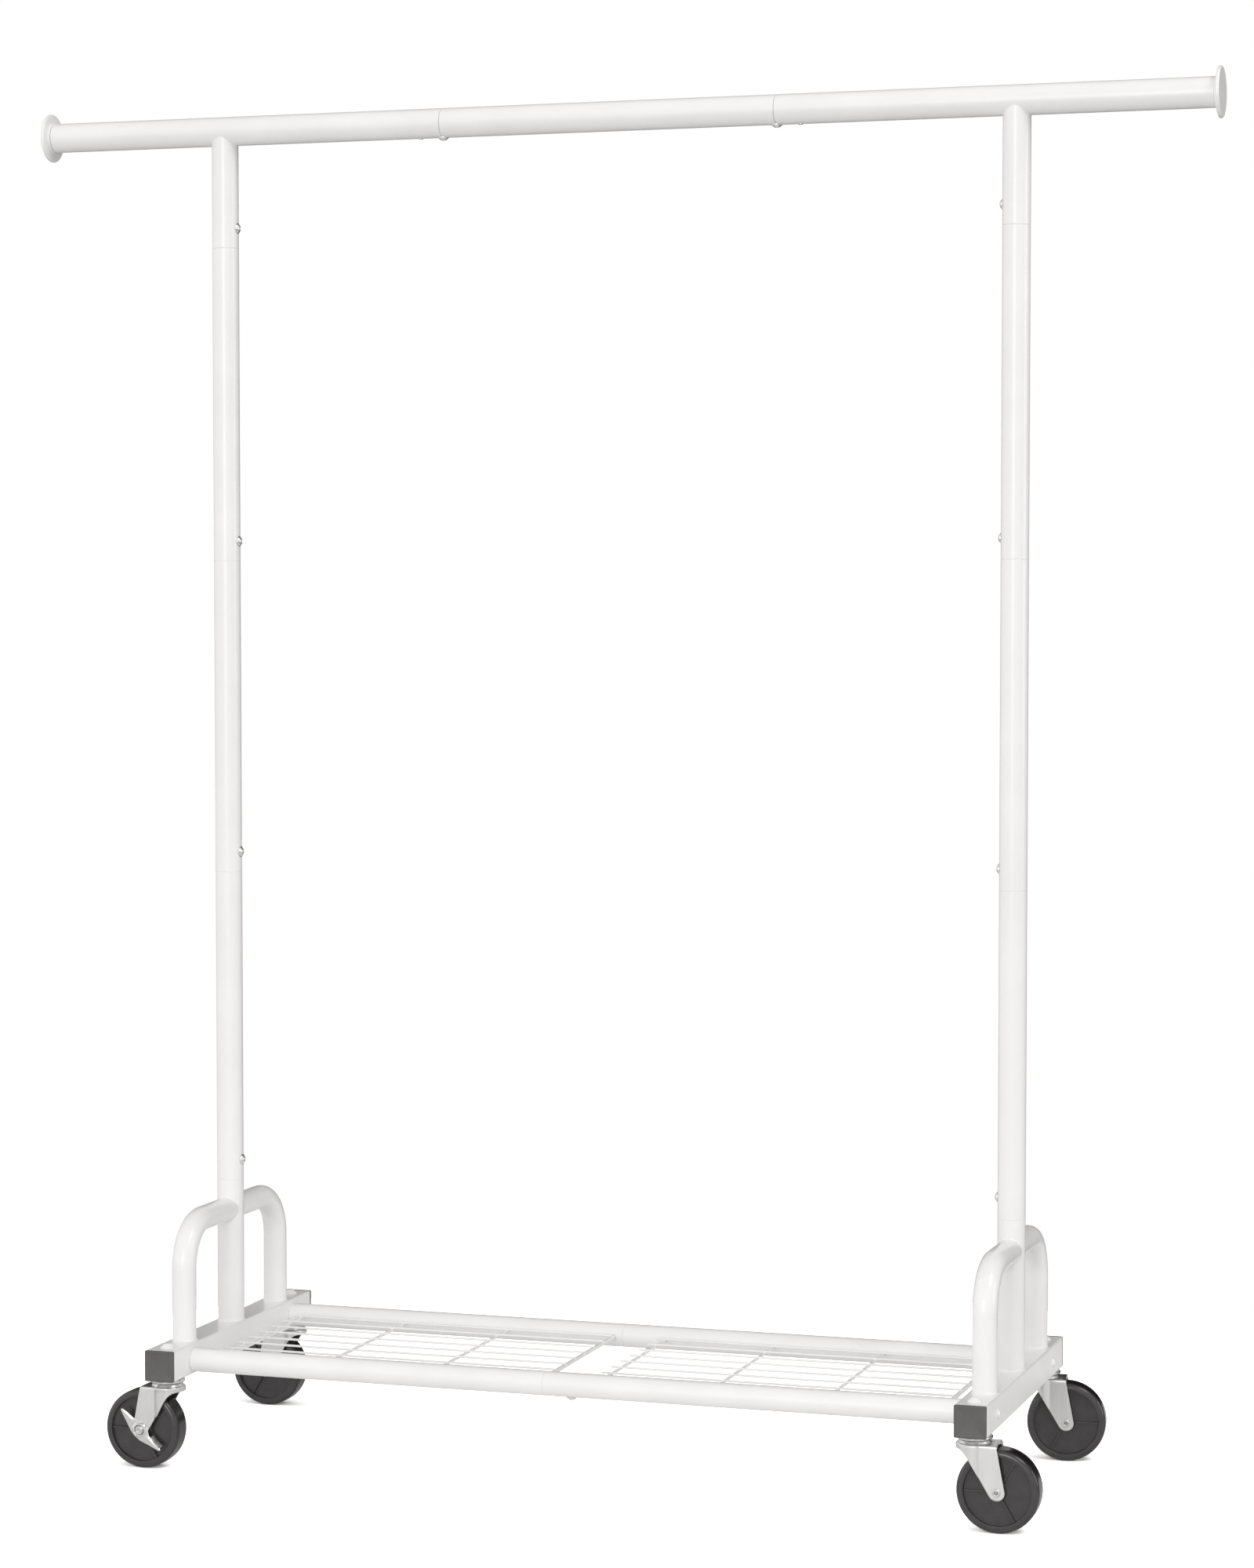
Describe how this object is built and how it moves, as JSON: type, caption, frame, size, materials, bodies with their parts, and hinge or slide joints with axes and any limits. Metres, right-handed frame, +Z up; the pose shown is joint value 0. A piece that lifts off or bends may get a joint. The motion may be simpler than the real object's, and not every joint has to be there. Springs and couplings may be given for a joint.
{
  "type": "rolling clothes rack",
  "caption": "White steel garment rack on casters: hanging rail with end stops on two posts, side handles on square base tubes, and a low wire shelf.",
  "frame": {"origin": "on the floor, under the middle of the rack", "axes": "+Z up, +X along the hanging rail, -Y towards the front; the origin is at the centre of the footprint"},
  "size_m": [1.571, 0.4566, 1.7655],
  "materials": {
    "white_powder_coat": "satin powder coat",
    "white_plastic": "moulded, low gloss",
    "white_bolt": "painted",
    "grey_plastic": "moulded",
    "wheel_plastic": "moulded",
    "zinc_fork": "bright zinc plate",
    "zinc_lever": "bright zinc plate",
    "zinc_steel": "zinc plate",
    "bearing_steel": "ground",
    "bright_bolt": "bright zinc plate"
  },
  "bodies": {
    "rack_frame": {"base_tube_left": "white_powder_coat", "post_stub_left": "white_powder_coat", "post_lower_left": "white_powder_coat", "post_middle_left": "white_powder_coat", "post_upper_left": "white_powder_coat", "rail_post_stub_left": "white_powder_coat", "rail_end_left": "white_powder_coat", "rail_end_disc_left": "white_plastic", "shelf_panel_left": "white_powder_coat", "base_end_cap_front_left": "grey_plastic", "handle_front_left": "white_powder_coat", "shelf_bar_front_left": "white_powder_coat", "base_end_cap_back_left": "grey_plastic", "handle_back_left": "white_powder_coat", "shelf_bar_back_left": "white_powder_coat", "base_tube_right": "white_powder_coat", "post_stub_right": "white_powder_coat", "post_lower_right": "white_powder_coat", "post_middle_right": "white_powder_coat", "post_upper_right": "white_powder_coat", "rail_post_stub_right": "white_powder_coat", "rail_end_right": "white_powder_coat", "rail_end_disc_right": "white_plastic", "shelf_panel_right": "white_powder_coat", "base_end_cap_front_right": "grey_plastic", "handle_front_right": "white_powder_coat", "shelf_bar_front_right": "white_powder_coat", "base_end_cap_back_right": "grey_plastic", "handle_back_right": "white_powder_coat", "shelf_bar_back_right": "white_powder_coat", "rail_centre": "white_powder_coat", "rail_joint_sleeves": "zinc_steel", "rail_sleeve_rivets": "zinc_steel", "tube_joint_bolts": "bright_bolt", "tube_joint_nuts": "zinc_steel", "shelf_bar_bolts": "white_bolt", "shelf_bar_inserts": "grey_plastic", "caster_stems": "zinc_steel", "caster_races": "zinc_steel", "caster_cap_nuts": "white_bolt", "caster_balls": "bearing_steel"},
    "fork_front_left": {"caster_fork_front_left": "zinc_fork", "caster_axle_front_left": "zinc_steel"},
    "wheel_front_left": {"caster_wheel_front_left": "wheel_plastic", "wheel_bushing_front_left": "zinc_steel"},
    "brake_front_left": {"brake_lever_front_left": "zinc_lever"},
    "fork_front_right": {"caster_fork_front_right": "zinc_fork", "caster_axle_front_right": "zinc_steel"},
    "wheel_front_right": {"caster_wheel_front_right": "wheel_plastic", "wheel_bushing_front_right": "zinc_steel"},
    "brake_front_right": {"brake_lever_front_right": "zinc_lever"},
    "fork_back_left": {"caster_fork_back_left": "zinc_fork", "caster_axle_back_left": "zinc_steel"},
    "wheel_back_left": {"caster_wheel_back_left": "wheel_plastic", "wheel_bushing_back_left": "zinc_steel"},
    "fork_back_right": {"caster_fork_back_right": "zinc_fork", "caster_axle_back_right": "zinc_steel"},
    "wheel_back_right": {"caster_wheel_back_right": "wheel_plastic", "wheel_bushing_back_right": "zinc_steel"}
  },
  "joints": [
    {"name": "swivel_front_left", "type": "hinge", "parent": "rack_frame", "child": "fork_front_left", "pos_m": [-0.5315, -0.201, 0.11], "axis": [0, 0, 1], "continuous": true},
    {"name": "wheel_spin_front_left", "type": "hinge", "parent": "fork_front_left", "child": "wheel_front_left", "pos_m": [-0.562, -0.201, 0.0511], "axis": [0, -1, 0], "continuous": true},
    {"name": "brake_press_front_left", "type": "hinge", "parent": "fork_front_left", "child": "brake_front_left", "pos_m": [-0.562, -0.201, 0.0511], "axis": [0, 1, 0], "range_deg": [0, 25]},
    {"name": "swivel_front_right", "type": "hinge", "parent": "rack_frame", "child": "fork_front_right", "pos_m": [0.5315, -0.201, 0.11], "axis": [0, 0, 1], "continuous": true},
    {"name": "wheel_spin_front_right", "type": "hinge", "parent": "fork_front_right", "child": "wheel_front_right", "pos_m": [0.56199, -0.2002, 0.0511], "axis": [-0.0262, 0.9997, 0], "continuous": true},
    {"name": "brake_press_front_right", "type": "hinge", "parent": "fork_front_right", "child": "brake_front_right", "pos_m": [0.56199, -0.2002, 0.0511], "axis": [0.0262, -0.9997, 0], "range_deg": [0, 25]},
    {"name": "swivel_back_left", "type": "hinge", "parent": "rack_frame", "child": "fork_back_left", "pos_m": [-0.5315, 0.201, 0.11], "axis": [0, 0, 1], "continuous": true},
    {"name": "wheel_spin_back_left", "type": "hinge", "parent": "fork_back_left", "child": "wheel_back_left", "pos_m": [-0.56199, 0.2018, 0.0511], "axis": [-0.0262, -0.9997, 0], "continuous": true},
    {"name": "swivel_back_right", "type": "hinge", "parent": "rack_frame", "child": "fork_back_right", "pos_m": [0.5315, 0.201, 0.11], "axis": [0, 0, 1], "continuous": true},
    {"name": "wheel_spin_back_right", "type": "hinge", "parent": "fork_back_right", "child": "wheel_back_right", "pos_m": [0.5617, 0.20525, 0.0511], "axis": [-0.1392, 0.9903, 0], "continuous": true}
  ]
}
